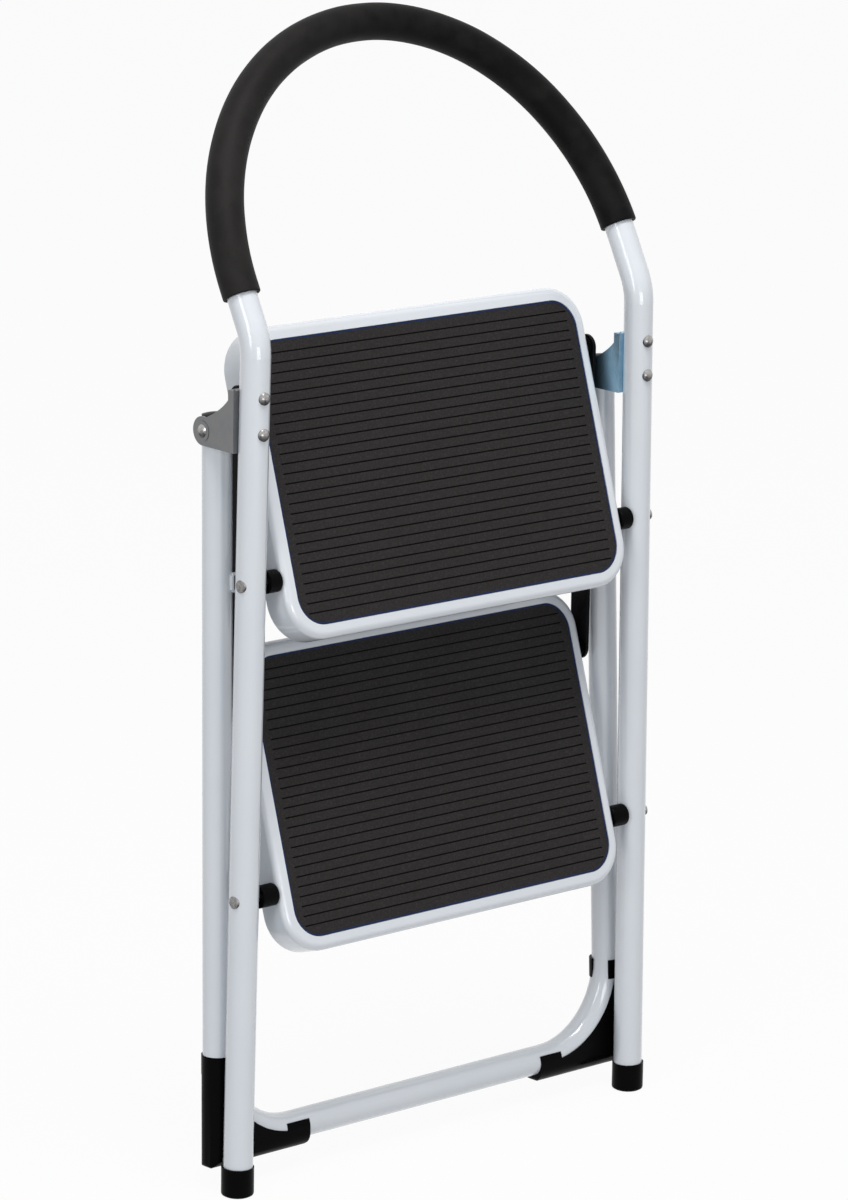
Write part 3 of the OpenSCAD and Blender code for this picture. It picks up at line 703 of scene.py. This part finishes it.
def makeGrip(v):
    lean = math.radians(v["lean"])
    along = Vector((0, math.sin(lean), math.cos(lean)))       # up the hoop
    front = Vector((0, -math.cos(lean), math.sin(lean)))      # square to the hoop
    middle = Vector((0, legValues["y"], v["bendHeight"])) + along * v["straight"]
    start = math.radians(v["bareAngle"])
    radial = Vector((1, 0, 0)) * math.cos(start) + along * math.sin(start)
    tangent = along * math.cos(start) - Vector((1, 0, 0)) * math.sin(start)
    shape = bmesh.new()
    bmesh.ops.create_circle(shape, cap_ends=False, segments=v["sides"], radius=v["foamRadius"])
    turn = Matrix((radial, front, tangent)).transposed().to_4x4()
    begin = Matrix.Translation(middle + radial * v["archRadius"]) @ turn
    bmesh.ops.transform(shape, matrix=begin, verts=shape.verts)
    spun = bmesh.ops.spin(
        shape, geom=shape.verts[:] + shape.edges[:], cent=middle, axis=Vector((1, 0, 0)).cross(along),
        dvec=(0, 0, 0), angle=math.pi - start, steps=v["steps"], use_merge=False)
    edges = [g for g in spun["geom_last"] if isinstance(g, bmesh.types.BMEdge)]
    for _ in range(v["tailParts"]):
        grown = bmesh.ops.extrude_edge_only(shape, edges=edges)["geom"]
        edges = [g for g in grown if isinstance(g, bmesh.types.BMEdge) and g.is_boundary]
        moved = [g for g in grown if isinstance(g, bmesh.types.BMVert)]
        bmesh.ops.translate(shape, verts=moved, vec=-along * v["tail"] / v["tailParts"])
    for vert in shape.verts:                                  # soft dents of handled foam
        dent = v["dents"] * mathNoise.noise(vert.co * v["dentsPerMetre"])
        vert.co += (vert.co - middle).normalized() * dent
    bmesh.ops.recalc_face_normals(shape, faces=shape.faces)
    bmesh.ops.solidify(shape, geom=shape.faces[:], thickness=v["wall"])
    bmesh.ops.recalc_face_normals(shape, faces=shape.faces)
    for face in shape.faces:
        face.smooth = True
    mesh = bpy.data.meshes.new("foamGrip")
    shape.to_mesh(mesh)
    shape.free()
    mesh.materials.append(finishes["grip_foam"])
    grip = bpy.data.objects.new("foamGrip", mesh)
    scene.collection.objects.link(grip)
    soften = grip.modifiers.new("roundEnds", "BEVEL")
    soften.width = v["endRound"]
    soften.segments = v["endParts"]
    soften.limit_method = "ANGLE"
    soften.angle_limit = math.radians(v["endAngle"])
    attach(grip, "front")
    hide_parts("handle_grip")


makeGrip(gripValues)
print("foam grip made")

# painted shade: a dark blue band on each mat where it meets its recess, standing for the shade in the gap
matEdgeValues = {
    "width": 0.3496,
    "length": 0.2342,
    "corner": 0.025,
    "cornerParts": 14,
    "band": 0.0016,
    "thick": 0.00012,
    "lift": 0.00004,           # metres over the mat
    "pivotReach": 0.075,       # from the pivot to the middle of the mat
    "color": (0.004, 0.012, 0.045),
    "pale": (0.0072, 0.0216, 0.081),
    "mottle": 300.0,
    "roughness": (0.4, 0.6),
    "sheen": 0.2,
}


def makeMatEdgeShade(v, step):
    material, tree, shader, place = startMaterial("matEdgeShade")
    tone = mapRange(tree, noise(tree, place, v["mottle"], 2.0), 0.35, 0.7)
    link(tree, mixColor(tree, tone, v["color"], v["pale"]), shader.inputs["Base Color"])
    setRoughness(tree, shader, tone, v)
    outward = step["pivotDepth"] - step["recess"] + step["matTop"] + v["lift"]
    for name, pivot in step["pivots"].items():
        shape = bmesh.new()
        bmesh.ops.create_grid(shape, x_segments=1, y_segments=1, size=0.5)
        bmesh.ops.scale(shape, vec=(v["width"], v["length"], 1), verts=shape.verts)
        bmesh.ops.bevel(
            shape, geom=shape.verts[:], offset=v["corner"], offset_type="OFFSET", affect="VERTICES",
            segments=v["cornerParts"], profile=0.5, material=-1)
        middle = shape.faces[:]
        bmesh.ops.inset_region(
            shape, faces=middle, thickness=v["band"], use_boundary=True, use_even_offset=True)
        bmesh.ops.delete(shape, geom=middle, context="FACES")
        bmesh.ops.solidify(shape, geom=shape.faces[:], thickness=-v["thick"])
        onStep = (Matrix.Translation((0, legValues["y"] - step["pivotFront"], pivot))
                  @ Matrix.Rotation(math.radians(90 - step["tilt"]), 4, "X")
                  @ Matrix.Translation((0, v["pivotReach"], outward)))
        bmesh.ops.transform(shape, matrix=onStep, verts=shape.verts)
        bmesh.ops.recalc_face_normals(shape, faces=shape.faces)
        mesh = bpy.data.meshes.new(name + "MatEdge")
        shape.to_mesh(mesh)
        shape.free()
        mesh.materials.append(material)
        edge = bpy.data.objects.new(name + "MatEdge", mesh)
        scene.collection.objects.link(edge)
        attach(edge, name + "_tread")


makeMatEdgeShade(matEdgeValues, stepValues)
print("mat edge lines made")

# raised cheek at the inner end of each corner foot
cheekValues = {
    "inner": 0.130,            # metres from the middle
    "outer": 0.154,
    "radius": 0.01325,
    "thick": 0.00075,
    "arc": 32,                 # degrees
    "arcParts": 10,
    "barBehind": 0.0275,       # crossbar axis behind the leg axes
    "barHeight": 0.0361,
}


def makeCheeks(v):
    axis = Vector((0, legValues["y"] + v["barBehind"], v["barHeight"]))
    for side, name in ((-1, "leftCheek"), (1, "rightCheek")):
        shape = bmesh.new()
        start = axis + Vector((0, -v["radius"], 0))
        ends = [shape.verts.new(start + Vector((side * x, 0, 0))) for x in (v["inner"], v["outer"])]
        edge = shape.edges.new(ends)
        bmesh.ops.spin(
            shape, geom=[*ends, edge], cent=axis, axis=(-1, 0, 0), dvec=(0, 0, 0),
            angle=math.radians(v["arc"]), steps=v["arcParts"], use_merge=False)
        bmesh.ops.recalc_face_normals(shape, faces=shape.faces)
        bmesh.ops.solidify(shape, geom=shape.faces[:], thickness=v["thick"])
        bmesh.ops.recalc_face_normals(shape, faces=shape.faces)
        for face in shape.faces:
            face.smooth = False
        mesh = bpy.data.meshes.new(name)
        shape.to_mesh(mesh)
        shape.free()
        mesh.materials.append(finishes["black_plastic"])
        cheek = bpy.data.objects.new(name, mesh)
        scene.collection.objects.link(cheek)
        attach(cheek, "rear")


makeCheeks(cheekValues)
print("shoe cheeks made")
